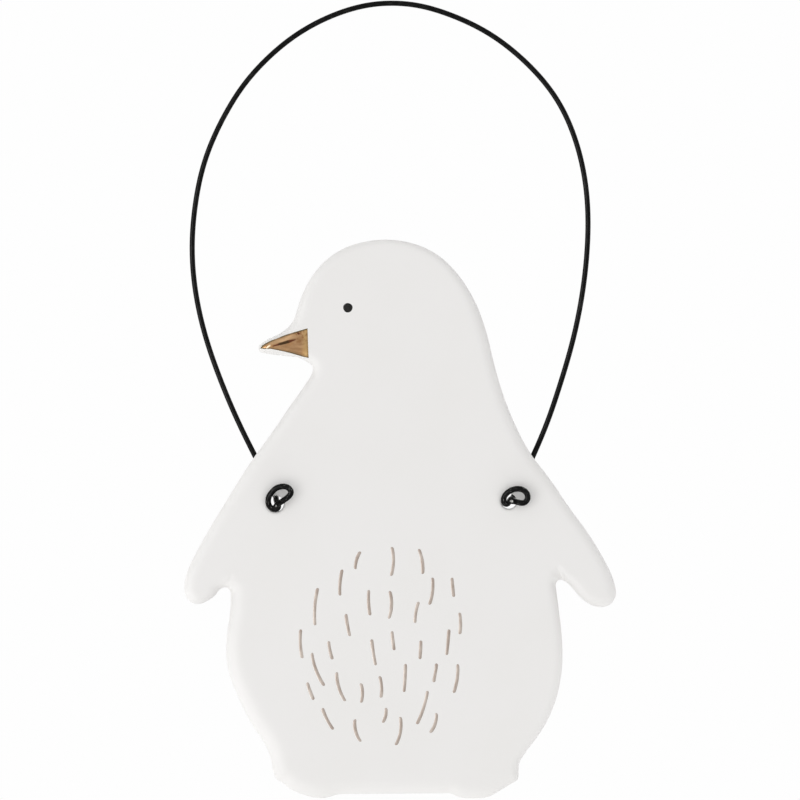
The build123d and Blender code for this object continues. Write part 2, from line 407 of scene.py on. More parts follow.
@dataclass(frozen=True)
class GoldLustre(Finish):
    """Brushed-on bronze gold with a darker rim and a burnt mark, and painted light: a dark streak
    of painted shade along the beak's ridge with a band of painted highlight above it, a soft patch
    of painted shade beside its right end and a painted glint near the tip.

    Places, reaches and distances beside a line are in metres on the face. Names that
    end in along are stretches of a line, as shares of it, and names that end in
    beyond are shares from its middle. Names that end in share say how strongly a
    colour shows. The rim's distances are in millimetres.
    """

    metallic: float = 0.9
    roughness: Pair = (0.3, 0.16)
    relief: Pair = (0.00004, 0.4)
    gold: Colour = (161, 127, 93)
    deep: Colour = (141, 108, 76)
    bright: Colour = (183, 151, 115)
    warm: Colour = (153, 113, 73)
    ridge_shade: Colour = (64, 46, 27)
    burnt: Colour = (90, 50, 32)
    shade: Colour = (128, 90, 56)
    glint: Colour = (216, 200, 174)
    olive: Colour = (176, 146, 96)
    rim: Colour = (100, 90, 64)
    beak_turn: float = math.radians(-17)
    streak_scale: float = 620.0
    patch_scale: float = 480.0
    crack_scale: float = 1500.0
    ragged_scale: float = 1800.0
    rim_scale: float = 420.0
    streak_rise: Pair = (0.3, 0.7)
    patch_rise: Pair = (0.52, 0.7)
    patch_share: float = 0.6
    crack_rise: Pair = (0.5, 0.6)
    crack_share: float = 0.75
    ridge_shade_start: Pair = (-0.02415, -0.06812)
    ridge_shade_end: Pair = (-0.01957, -0.06680)
    ridge_shade_half: float = 0.00014
    ridge_shade_ragged: float = 0.00018
    ridge_shade_least: float = 0.00006
    ridge_shade_soft: Pair = (-0.00006, 0.00008)
    ridge_shade_start_along: Pair = (-0.04, 0.06)
    ridge_shade_end_along: Pair = (0.98, 1.06)
    swell_along: Pair = (-0.2, 0.66)
    shrink_along: Pair = (0.66, 1.1)
    burnt_beyond: Pair = (0.15, 0.3)
    band_rise: Pair = (0.0002, 0.0005)
    band_fall: Pair = (0.0008, 0.0013)
    band_start_along: Pair = (-0.3, 0.1)
    band_end_along: Pair = (0.7, 1.3)
    band_share: float = 0.7
    glint_start: Pair = (-0.02535, -0.06852)
    glint_end: Pair = (-0.02460, -0.06790)
    glint_soft: Pair = (0.00004, 0.00022)
    glint_beyond: Pair = (0.3, 0.75)
    mark_start: Pair = (-0.01925, -0.06522)
    mark_end: Pair = (-0.01880, -0.06572)
    mark_soft: Pair = (0.0001, 0.0003)
    mark_beyond: Pair = (0.35, 0.75)
    shade_place: Pair = (-0.01870, -0.06690)
    shade_reach: float = 0.0009
    shade_share: float = 0.3
    crack_place: Pair = (-0.01845, -0.06600)
    crack_reach: float = 0.0022
    olive_rise: Pair = (-0.0187, -0.0173)
    olive_share: float = 0.6
    rim_fall: Pair = (0.1, 0.36)
    rim_rise: Pair = (0.38, 0.58)
    rim_share: float = 0.4
    rim_more: float = 0.5

    def pattern(self, graph: Graph) -> tuple[Signal, Signal, Signal]:
        """Gives the colour, the grain and the height.

        Args:
            graph: The material's graph.

        Returns:
            The colour with all its marks, and the brushed streaks twice.
        """
        place = graph.place()
        spot = (graph.part(place, "X"), graph.part(place, "Z"))
        streaks = self._brushed(graph, place, (1.0, 1.0, 4.0), self.streak_scale, 3.0)
        patches = graph.noise(place, self.patch_scale, 2.0)
        colour = graph.mix(streaks.rise(*self.streak_rise), self.deep, self.gold)
        colour = graph.mix(patches.rise(*self.patch_rise) * self.patch_share, colour, self.warm)
        # The line of the beak's ridge; a band of painted highlight lies just above it.
        share, above = self._line(spot, self.ridge_shade_start, self.ridge_shade_end)
        highlight_band = above.within(self.band_rise, self.band_fall)
        highlight_band = highlight_band * share.within(self.band_start_along, self.band_end_along)
        colour = graph.mix(highlight_band * self.band_share, colour, self.bright)
        colour = graph.mix(spot[0].rise(*self.olive_rise) * self.olive_share, colour, self.olive)
        # A soft patch of painted shade beside the right end of the ridge streak.
        painted_shade = self._near(spot, self.shade_place, self.shade_reach)
        colour = graph.mix(painted_shade * self.shade_share, colour, self.shade)
        cracks = graph.noise(place, self.crack_scale, 2.0, 0.7).rise(*self.crack_rise)
        cracked = self._near(spot, self.crack_place, self.crack_reach)
        colour = graph.mix(cracks * cracked * self.crack_share, colour, self.shade)
        # The dark streak along the ridge is painted shade, turning burnt red towards its ends.
        dark = graph.mix(abs(share - 0.5).rise(*self.burnt_beyond), self.ridge_shade, self.burnt)
        colour = graph.mix(self._ridge_shade(graph, place, share, above), colour, dark)
        mark = self._dash(spot, self.mark_start, self.mark_end, self.mark_soft, self.mark_beyond)
        colour = graph.mix(mark, colour, self.burnt)
        colour = graph.mix(self._rim(graph, place), colour, self.rim)
        # A painted glint near the tip.
        glint = self._dash(spot, self.glint_start, self.glint_end, self.glint_soft, self.glint_beyond)
        return graph.mix(glint, colour, self.glint), streaks, streaks

    def _brushed(self, graph: Graph, place: Signal, scale: Triple, fineness: float, detail: float) -> Signal:
        """Gives noise that is drawn out along the beak."""
        return graph.noise(graph.stretched(place, scale, self.beak_turn), fineness, detail)

    def _near(self, spot: tuple[Signal, Signal], middle: Pair, reach: float) -> Signal:
        """Gives 1 at a place on the face, falling softly to 0 at its reach."""
        off_x, off_z = spot[0] - middle[0], spot[1] - middle[1]
        return (off_x * off_x + off_z * off_z).fall(0.0, reach * reach)

    def _line(self, spot: tuple[Signal, Signal], start: Pair, end: Pair) -> tuple[Signal, Signal]:
        """Measures the face along and beside a short line.

        Args:
            spot: The x and the z of the surface.
            start: Where the line starts.
            end: Where it ends.

        Returns:
            The share of the way from start to end, and the distance above the line.
        """
        run, climb = end[0] - start[0], end[1] - start[1]
        length = math.hypot(run, climb)
        unit = (run / length, climb / length)
        right, up = spot[0] - start[0], spot[1] - start[1]
        return (right * unit[0] + up * unit[1]) / length, up * unit[0] - right * unit[1]

    def _dash(
        self, spot: tuple[Signal, Signal], start: Pair, end: Pair, beside: Pair, beyond: Pair
    ) -> Signal:
        """Gives a short soft dash.

        Args:
            spot: The x and the z of the surface.
            start: Where the dash starts.
            end: Where it ends.
            beside: The distances from its line at which it starts to fade and is gone.
            beyond: The same along the line, as shares of it from its middle.

        Returns:
            1 on the dash and 0 off it.
        """
        share, aside = self._line(spot, start, end)
        return abs(aside).fall(*beside) * abs(share - 0.5).fall(*beyond)

    def _ridge_shade(self, graph: Graph, place: Signal, share: Signal, above: Signal) -> Signal:
        """Gives the dark streak of painted shade along the beak's ridge, thin at its left end.

        Args:
            graph: The material's graph.
            place: The coordinate.
            share: How far along the streak's line the surface is.
            above: How far above it the surface is.

        Returns:
            1 on the streak and 0 off it.
        """
        swell = share.within(self.swell_along, self.shrink_along)
        ragged = self._brushed(graph, place, (1.0, 1.0, 3.0), self.ragged_scale, 2.0)
        half = swell * (self.ridge_shade_half + self.ridge_shade_ragged * ragged) + self.ridge_shade_least
        along = share.within(self.ridge_shade_start_along, self.ridge_shade_end_along)
        return (abs(above) - half).fall(*self.ridge_shade_soft) * along

    def _rim(self, graph: Graph, place: Signal) -> Signal:
        """Gives the darker line along the upper and lower edges, of uneven strength.

        Args:
            graph: The material's graph.
            place: The coordinate.

        Returns:
            How strongly the line shows.
        """
        away = graph.node("ShaderNodeAttribute", {"attribute_name": "edge_distance"}, out="Fac")
        uneven = graph.noise(place, self.rim_scale, 1.0).rise(*self.rim_rise)
        return away.fall(*self.rim_fall) * (self.rim_share + self.rim_more * uneven)


@dataclass(frozen=True)
class BlackEnamel(Finish):
    """A drop of glossy black enamel."""

    specular: float = 0.14
    roughness: Pair = (0.22, 0.12)
    relief: Pair = (0.00002, 0.4)
    black: Colour = (25, 24, 23)
    cloudy: Colour = (38, 37, 36)
    cloud_scale: float = 1800.0

    def pattern(self, graph: Graph) -> tuple[Signal, Signal, Signal]:
        """Gives the colour, the grain and the height."""
        cloud = graph.noise(graph.place(), self.cloud_scale, 2.0)
        return graph.mix(cloud, self.black, self.cloudy), cloud, cloud


@dataclass(frozen=True)
class BronzeLustre(Finish):
    """Thin brown bronze lustre, paler where the brush ran dry."""

    metallic: float = 0.35
    roughness: Pair = (0.36, 0.2)
    brown: Colour = (158, 144, 134)
    pale: Colour = (182, 171, 162)
    drag_scale: float = 1600.0
    drift_scale: float = 320.0
    drag_share: float = 0.6
    dry_rise: Pair = (0.4, 0.62)

    def pattern(self, graph: Graph) -> tuple[Signal, Signal, Signal]:
        """Gives the colour, the grain and the height.

        Args:
            graph: The material's graph.

        Returns:
            The brown with its dry stretches, and the drag of the brush twice.
        """
        place = graph.place()
        drag = graph.noise(graph.stretched(place, (1.0, 1.0, 0.3)), self.drag_scale, 3.0, 0.6)
        drift = graph.noise(place, self.drift_scale, 1.0)
        dry = drag * self.drag_share + drift * (1 - self.drag_share)
        return graph.mix(dry.rise(*self.dry_rise), self.brown, self.pale), drag, drag


@dataclass(frozen=True)
class PaleGround(Finish):
    """A pale floor that runs out into the white around it."""

    specular: float = 0.1
    matt: float = 0.9
    pale: Colour = (238, 238, 237)
    speck: Colour = (233, 233, 232)
    speck_scale: float = 300.0
    fade: Pair = (0.08, 0.24)

    def surface(self, graph: Graph) -> Signal:
        """Gives the surface shader.

        Args:
            graph: The material's graph.

        Returns:
            A matt shader that turns to plain white towards the floor's rim.
        """
        place = graph.place()
        pale = graph.mix(graph.noise(place, self.speck_scale, 2.0), self.pale, self.speck)
        sockets = {"Base Color": pale, "Roughness": self.matt, "Specular IOR Level": self.specular}
        matt = graph.node("ShaderNodeBsdfPrincipled", sockets=sockets)
        bright = {"Color": PURE_WHITE, "Strength": SURROUNDING_WHITE}
        white = graph.node("ShaderNodeEmission", sockets=bright)
        reach = graph.node("ShaderNodeVectorMath", {"operation": "LENGTH"}, {0: place}, out="Value")
        return graph.node("ShaderNodeMixShader", sockets={0: reach.rise(*self.fade), 1: matt, 2: white})


# Geometry helpers


def turned(direction: np.ndarray, angle: float) -> np.ndarray:
    """Turns a direction in the plane of the face by an angle in radians."""
    c, s = math.cos(angle), math.sin(angle)
    return np.array([c * direction[0] - s * direction[1], s * direction[0] + c * direction[1]])


def turn_to(heading: np.ndarray, chord: np.ndarray) -> float:
    """Gives the angle from a heading to a chord, which is half the turn of their arc."""
    return math.atan2(heading[0] * chord[1] - heading[1] * chord[0], float(heading @ chord))


def arc_samples(start: np.ndarray, heading: np.ndarray, end: np.ndarray, step: float) -> list[Sample]:
    """Samples the arc that leaves start along heading and ends at end.

    Args:
        start: The first point.
        heading: The unit direction there.
        end: The last point, which isn't sampled.
        step: The longest distance between two samples.

    Returns:
        Points and unit directions along the arc.
    """
    chord = end - start
    length = float(np.hypot(*chord))
    half = turn_to(heading, chord)
    if abs(half) <= TINY:
        count = max(1, math.ceil(length / step))
        return [(start + chord * (index / count), heading) for index in range(count)]
    radius = length / (2 * math.sin(half))
    count = max(1, math.ceil(length * (half / math.sin(half)) / step))
    samples = []
    for share in (index / count for index in range(count)):
        reach = 2 * radius * math.sin(half * share)
        samples.append((start + turned(heading, half * share) * reach, turned(heading, 2 * half * share)))
    return samples


def two_arcs(first: Sample, last: Sample, step: float) -> list[Sample]:
    """Samples the two arcs that join two points smoothly.

    Args:
        first: The first point and the unit direction there.
        last: The same for the last point, which isn't sampled.
        step: The longest distance between two samples.

    Returns:
        Points and unit directions along both arcs.
    """
    (start, leaving), (end, arriving) = first, last
    chord = end - start
    square = float(chord @ chord)
    lean = float(chord @ (leaving + arriving))
    reach = square / (lean + math.sqrt(lean**2 + 2 * (1 - float(leaving @ arriving)) * square))
    middle = (start + end + (leaving - arriving) * reach) / 2
    ahead = turned(leaving, 2 * turn_to(leaving, middle - start))
    return arc_samples(start, leaving, middle, step) + arc_samples(middle, ahead, end, step)


def search_tree(places: Sequence[Sequence[float]]) -> KDTree:
    """Makes a search tree of places on the face.

    Args:
        places: The places.

    Returns:
        The tree, which numbers them in their order.
    """
    tree = KDTree(len(places))
    for index, place in enumerate(places):
        tree.insert((place[0], place[1], 0.0), index)
    tree.balance()
    return tree


def nearest_on_line(
    points: np.ndarray, line: np.ndarray, closed: bool = True
) -> tuple[np.ndarray, np.ndarray]:
    """Finds how far each point is from a line of short segments, and where.

    Args:
        points: The points, one row each.
        line: The line's points in order.
        closed: Whether the last point joins the first.

    Returns:
        One distance for each point, and the number of the line's nearest point.
    """
    tree = search_tree(line)
    count = len(line)
    result = np.full(len(points), math.inf)
    numbers = np.empty(len(points), int)
    for row, point in enumerate(points):
        nearest = numbers[row] = tree.find((point[0], point[1], 0.0))[1]
        for first in (nearest - 1, nearest):
            if closed or 0 <= first < count - 1:
                a, b = line[first % count], line[(first + 1) % count]
                run = b - a
                share = min(1.0, max(0.0, float((point - a) @ run) / float(run @ run)))
                result[row] = min(result[row], float(np.hypot(*(a + run * share - point))))
    return result, numbers


def distance_to_line(points: np.ndarray, line: np.ndarray, closed: bool = True) -> np.ndarray:
    """Gives how far each point is from a line of short segments."""
    return nearest_on_line(points, line, closed)[0]


def inside(points: np.ndarray, loop: np.ndarray) -> np.ndarray:
    """Tells which points lie inside a closed loop.

    Args:
        points: The points, one row each.
        loop: The loop's corners in order.

    Returns:
        One truth for each point.
    """
    result = np.zeros(len(points), bool)
    for (x1, z1), (x2, z2) in zip(loop, np.roll(loop, -1, axis=0)):
        if z1 != z2:
            crosses = (z1 > points[:, 1]) != (z2 > points[:, 1])
            result ^= crosses & (points[:, 0] < x1 + (points[:, 1] - z1) * (x2 - x1) / (z2 - z1))
    return result


def circle(middle: np.ndarray, radius: float, steps: int) -> np.ndarray:
    """Gives the points of a circle on the face."""
    angles = np.arange(steps) * 2 * math.pi / steps
    return middle + np.column_stack([np.cos(angles), np.sin(angles)]) * radius


def at_depth(flat: np.ndarray, depth: np.ndarray) -> np.ndarray:
    """Gives places on the face their depth."""
    return np.column_stack([flat[:, 0], depth, flat[:, 1]])


def rounded_drop(reach: np.ndarray, depth: float | np.ndarray, width: float | np.ndarray) -> np.ndarray:
    """Gives how far a rounded edge falls back at a distance from the edge.

    Args:
        reach: The distances from the edge.
        depth: How far the edge itself falls back.
        width: How far in the rounding reaches.

    Returns:
        The fall at each distance.
    """
    left = np.clip(1 - reach / width, 0.0, 1.0)
    return depth * (1 - np.sqrt(1 - left**2))


def rim_edges(triangles: Iterable[Sequence[int]]) -> list[tuple[int, int]]:
    """Gives the edges that only one triangle uses.

    Args:
        triangles: The corner numbers of each triangle.

    Returns:
        The edges, each in its triangle's direction.
    """
    edges = dict.fromkeys((t[i - 1], t[i]) for t in triangles for i in (1, 2, 0))
    return [(a, b) for a, b in edges if (b, a) not in edges]


def ring_faces(first: int, second: int, count: int) -> Faces:
    """Joins two rings of points with quads.

    Args:
        first: The number of the first ring's first point.
        second: The number of the second ring's first point.
        count: How many points each ring has.

    Returns:
        Faces that run along the first ring and back along the second.
    """
    steps = [(i, (i + 1) % count) for i in range(count)]
    return [[first + i, first + j, second + j, second + i] for i, j in steps]


def fan_faces(ring: int, middle: int, count: int) -> Faces:
    """Joins a ring of points to one point with triangles that run along the ring."""
    return [[ring + i, ring + (i + 1) % count, middle] for i in range(count)]


def make_object(
    name: str, vertices: np.ndarray, faces: Sequence[Sequence[int]], finishes: Sequence[Finish]
) -> bpy.types.Object:
    """Makes a smooth-shaded mesh object from points in millimetres.

    Args:
        name: The piece's name.
        vertices: The points, one row each, in millimetres.
        faces: The corner numbers of each face.
        finishes: The finishes, in the order of the mesh's material slots.

    Returns:
        The linked object.
    """
    mesh = bpy.data.meshes.new(name)
    mesh.from_pydata([tuple(row) for row in vertices * MM], [], [tuple(face) for face in faces])
    mesh.validate()
    mesh.update()
    mesh.polygons.foreach_set("use_smooth", [True] * len(mesh.polygons))
    for finish in finishes:
        mesh.materials.append(finish.material())
    piece = bpy.data.objects.new(name, mesh)
    bpy.context.scene.collection.objects.link(piece)
    return piece


# The porcelain figure


@dataclass(frozen=True)
class Shoulder:
    """The hole and the armpit crease of one side.

    The hole's middle lies off its even place. Its offset, its radius, the depth of
    the crease and the crease's widths to the left and right are in millimetres.
    """

    off: Pair
    radius: float
    crease_shares: tuple[Pair, ...]
    crease_depth: float
    crease_widths: Pair


@dataclass
class Figure:
    """The sizes of the plaque and everything that is measured on it, in millimetres.

    Each row of outline_shares is a place as shares of the width and height, and the
    outline's heading there in degrees. Each row of edge_rounds is a place counted in
    those rows, and the width and the fall of the rounded front edge there.
    """

    width: float = 86.6
    height: float = 112.0
    thickness: float = 5.0
    arch_height: float = 99.4
    hole_height_share: float = 0.529
    hole_spacing: float = 46.5
    back_round: float = 0.5
    front_rim: float = 0.45
    back_rim: float = 0.6
    step: float = 0.45
    fine_step: float = 0.12
    crease_steps: int = 5
    crease_power: float = 1.3
    left: Shoulder = Shoulder(
        off=(-0.24, -0.2),
        radius=1.61,
        crease_shares=((-0.3860, 0.376), (-0.3790, 0.391), (-0.3725, 0.403)),
        crease_depth=0.6,
        crease_widths=(0.5, 1.7),
    )
    right: Shoulder = Shoulder(
        off=(-0.12, 0.3),
        radius=1.52,
        crease_shares=((0.3932, 0.3915), (0.3879, 0.3999), (0.3810, 0.4088), (0.3768, 0.4170)),
        crease_depth=1.6,
        crease_widths=(2.0, 1.0),
    )
    edge_rounds: tuple[Triple, ...] = (
        (0, 1.1, 0.6), (1, 1.4, 1.0), (2, 2.0, 1.7), (4, 2.0, 1.7), (5.5, 1.8, 1.4), (8, 2.0, 1.6),
        (10.5, 2.0, 1.6), (12, 1.4, 0.85), (15, 1.4, 0.9), (17, 2.2, 1.5), (23, 3.0, 2.0),
        (25.5, 3.5, 2.3), (29, 3.0, 2.2), (31, 2.2, 1.8), (33.5, 2.2, 2.1), (37.5, 2.0, 1.9),
        (39.5, 2.2, 1.5), (43.5, 2.2, 1.5), (45, 2.0, 1.9), (47, 1.6, 1.3), (48, 1.1, 0.65),
    )
    outline_shares: tuple[Triple, ...] = (
        (-0.017, 0.9985, 0), (0.129, 0.954, -38), (0.203, 0.862, -65), (0.242, 0.751, -70),
        (0.296, 0.645, -57), (0.384, 0.546, -50), (0.470, 0.450, -52), (0.514, 0.373, -77),
        (0.479, 0.3425, 178), (0.424, 0.367, 137), (0.390, 0.391, 164), (0.375, 0.380, -80),
        (0.3905, 0.256, -90), (0.3545, 0.1385, -124), (0.301, 0.0785, -133), (0.2895, 0.059, -95),
        (0.281, 0.031, -158), (0.228, 0.007, -158), (0.177, 0.001, 180), (0.138, 0.008, 156),
        (0.108, 0.010, 180), (-0.112, 0.009, 180), (-0.138, 0.006, -164), (-0.165, 0.0015, 180),
        (-0.2315, 0.015, 161), (-0.261, 0.031, 161), (-0.279, 0.055, 98), (-0.344, 0.158, 123),
        (-0.386, 0.263, 90.5), (-0.375, 0.366, 91), (-0.389, 0.378, -177), (-0.421, 0.3575, -155),
        (-0.453, 0.348, 178), (-0.483, 0.377, 87), (-0.4525, 0.444, 55), (-0.3555, 0.570, 51.6),
        (-0.2525, 0.6855, 49.6), (-0.2045, 0.7385, 49), (-0.186, 0.7655, 75), (-0.207, 0.784, 156),
        (-0.255, 0.7915, 175), (-0.3015, 0.7965, 171), (-0.3115, 0.805, 90), (-0.3005, 0.815, 31),
        (-0.258, 0.833, 27), (-0.229, 0.858, 62), (-0.2115, 0.898, 62), (-0.155, 0.962, 34),
    )
    line: np.ndarray = field(init=False, repr=False)
    inwards: np.ndarray = field(init=False, repr=False)
    fine_line: np.ndarray = field(init=False, repr=False)
    fine_places: np.ndarray = field(init=False, repr=False)

    def __post_init__(self) -> None:
        """Samples the outline."""
        self.line, self.inwards, _ = self._sample(self.step)
        self.fine_line, _, self.fine_places = self._sample(self.fine_step)

    @property
    def feet(self) -> float:
        """The height of the feet below the top of the arch."""
        return -self.arch_height - self.hole_height_share * self.height

    @property
    def half(self) -> float:
        """Half the thickness."""
        return self.thickness / 2

    def at(self, x_share: float, z_share: float) -> np.ndarray:
        """Gives a place on the face from its shares of width and height."""
        return np.array([x_share * self.width, self.feet + z_share * self.height])

    def shoulder(self, side: Side) -> Shoulder:
        """Gives the sizes of one shoulder."""
        return self.left if side is Side.LEFT else self.right

    def hole(self, side: Side) -> np.ndarray:
        """Gives the middle of one hole."""
        off_x, off_z = self.shoulder(side).off
        return np.array([side.value * self.hole_spacing / 2 + off_x, -self.arch_height + off_z])

    def hole_ring(self, side: Side, offset: float, steps: int) -> np.ndarray:
        """Gives the points of a ring round one hole, at an offset from its rim."""
        return circle(self.hole(side), self.shoulder(side).radius + offset, steps)

    def from_hole(self, points: np.ndarray, side: Side) -> np.ndarray:
        """Gives how far each point lies outside the rim of one hole."""
        return np.hypot(*(points - self.hole(side)).T) - self.shoulder(side).radius

    def _sample(self, step: float) -> tuple[np.ndarray, np.ndarray, np.ndarray]:
        """Samples the outline.

        Args:
            step: The longest distance between two samples.

        Returns:
            The points, their inward directions, and their places counted in outline nodes.
        """
        nodes = []
        for x_share, z_share, angle in self.outline_shares:
            turn = math.radians(angle)
            heading = np.array([math.cos(turn) * self.width, math.sin(turn) * self.height])
            nodes.append((self.at(x_share, z_share), heading / np.hypot(*heading)))
        samples: list[Sample] = []
        places: list[float] = []
        for number, (first, last) in enumerate(zip(nodes, nodes[1:] + nodes[:1])):
            run = two_arcs(first, last, step)
            samples += run
            places += [number + index / len(run) for index in range(len(run))]
        points, headings = (np.array(values) for values in zip(*samples))
        return points, np.stack([headings[:, 1], -headings[:, 0]], axis=1), np.array(places)

    def crease(self, side: Side) -> np.ndarray:
        """Gives the short crease that runs up from one armpit.

        Args:
            side: Which armpit.

        Returns:
            Points along the crease, from the armpit up.
        """
        corners = [self.at(*share) for share in self.shoulder(side).crease_shares]
        shares = np.linspace(0, 1, self.crease_steps + 1)[:-1]
        line = [a + (b - a) * share for a, b in zip(corners, corners[1:]) for share in shares]
        return np.array(line + [corners[-1]])

    def _crease_drop(self, points: np.ndarray, side: Side) -> np.ndarray:
        """Gives how deep an armpit crease lies at places on the face.

        Args:
            points: The places, one row each.
            side: Which armpit.

        Returns:
            The fall at each place.
        """
        line = self.crease(side)
        run = line[-1] - line[0]
        from_start = points - line[0]
        share = np.clip(from_start @ run / float(run @ run), 0, 1)
        is_right = run[0] * from_start[:, 1] < run[1] * from_start[:, 0]
        left_width, right_width = self.shoulder(side).crease_widths
        away = distance_to_line(points, line, closed=False) / np.where(is_right, right_width, left_width)
        nearness = np.clip(1 - away, 0, 1)
        return self.shoulder(side).crease_depth * (1 - share) * nearness**self.crease_power

    def _rim_drop(self, points: np.ndarray, side: Side, rim: float) -> np.ndarray:
        """Gives how far the rounded rim of one hole falls back at places on the face."""
        return rounded_drop(np.maximum(self.from_hole(points, side), 0), rim, rim)

    def front(self, points: np.ndarray) -> np.ndarray:
        """Gives the depth of the pillowed front at places on the face.

        Args:
            points: The places, one row each.

        Returns:
            The y of the surface at each place, in millimetres.
        """
        reach, rows = nearest_on_line(points, self.fine_line)
        nodes, widths, depths = np.array(self.edge_rounds).T
        places = self.fine_places[rows]
        drop = rounded_drop(reach, np.interp(places, nodes, depths), np.interp(places, nodes, widths))
        for side in Side:
            drop = np.maximum(drop, self._crease_drop(points, side))
            drop = np.maximum(drop, self._rim_drop(points, side, self.front_rim))
        return drop - self.half

    def back(self, points: np.ndarray) -> np.ndarray:
        """Gives the depth of the flat back, rounded at its edges.

        Args:
            points: The places, one row each.

        Returns:
            The y of the surface at each place, in millimetres.
        """
        drop = rounded_drop(distance_to_line(points, self.fine_line), self.back_round, self.back_round)
        for side in Side:
            drop = np.maximum(drop, self._rim_drop(points, side, self.back_rim))
        return self.half - drop


@dataclass
class BeakGilding:
    """The gilded front of the beak, a film that follows the pillowed surface.

    Its first corners, up to number brushed, run down the line where the gilding
    meets the head. From there back to the first they run round the beak's edge.
    """

    figure: Figure
    cell: float = 0.4
    film: float = 0.035
    thin_reach: float = 0.12
    thin_share: float = 0.25
    sink: float = 0.08
    brushed: int = 4
    outline_shares: tuple[Pair, ...] = (
        (-0.1978, 0.8404), (-0.1971, 0.8267), (-0.1966, 0.8124), (-0.1960, 0.7999), (-0.1952, 0.7874),
        (-0.2077, 0.7894), (-0.2223, 0.7928), (-0.2385, 0.7963), (-0.2569, 0.7997), (-0.2708, 0.8020),
        (-0.2846, 0.8038), (-0.2973, 0.8034), (-0.3072, 0.8044), (-0.3026, 0.8097), (-0.2939, 0.8138),
        (-0.2846, 0.8177), (-0.2673, 0.8227), (-0.2500, 0.8284), (-0.2338, 0.8322), (-0.2177, 0.8358),
        (-0.2061, 0.8384),
    )
    name: str = "beak_gilding_lustre"

    def loop(self) -> np.ndarray:
        """Gives the film's outline.

        Returns:
            Points no further apart than a mesh cell.
        """
        corners = [self.figure.at(*share) for share in self.outline_shares]
        points = []
        for a, b in zip(corners, corners[1:] + corners[:1]):
            count = max(1, math.ceil(float(np.hypot(*(b - a))) / self.cell))
            points += [a + (b - a) * step / count for step in range(count)]
        return np.array(points)

    def build(self, flat: np.ndarray, triangles: Faces, front: np.ndarray) -> bpy.types.Object:
        """Lifts the body's own triangles inside the outline into a thin film.

        Args:
            flat: The body's places on the face.
            triangles: The body's front triangles.
            front: The depth of the front at each place.

        Returns:
            The film.
        """
        loop = self.loop()
        middles = np.array([flat[t].mean(axis=0) for t in triangles])
        kept = [t for t, is_in in zip(triangles, inside(middles, loop)) if is_in]
        used = sorted({corner for t in kept for corner in t})
        number = {corner: index for index, corner in enumerate(used)}
        size, flat, front = len(used), flat[used], front[used]
        thin = np.sqrt(np.clip(distance_to_line(flat, loop) / self.thin_reach, self.thin_share, 1))
        points = np.vstack([at_depth(flat, front - self.film * thin), at_depth(flat, front + self.sink)])
        faces = [[number[c] for c in t] for t in kept]
        faces += [[number[b], number[a], number[a] + size, number[b] + size] for a, b in rim_edges(kept)]
        faces += [[number[c] + size for c in t[::-1]] for t in kept]
        piece = make_object(self.name, points, faces, [GoldLustre("gold_lustre_brushed")])
        edge = [self.figure.at(*s) for s in self.outline_shares[self.brushed :] + self.outline_shares[:1]]
        layer = piece.data.attributes.new("edge_distance", "FLOAT", "POINT")
        layer.data.foreach_set("value", np.tile(distance_to_line(flat, np.array(edge), closed=False), 2))
        return piece


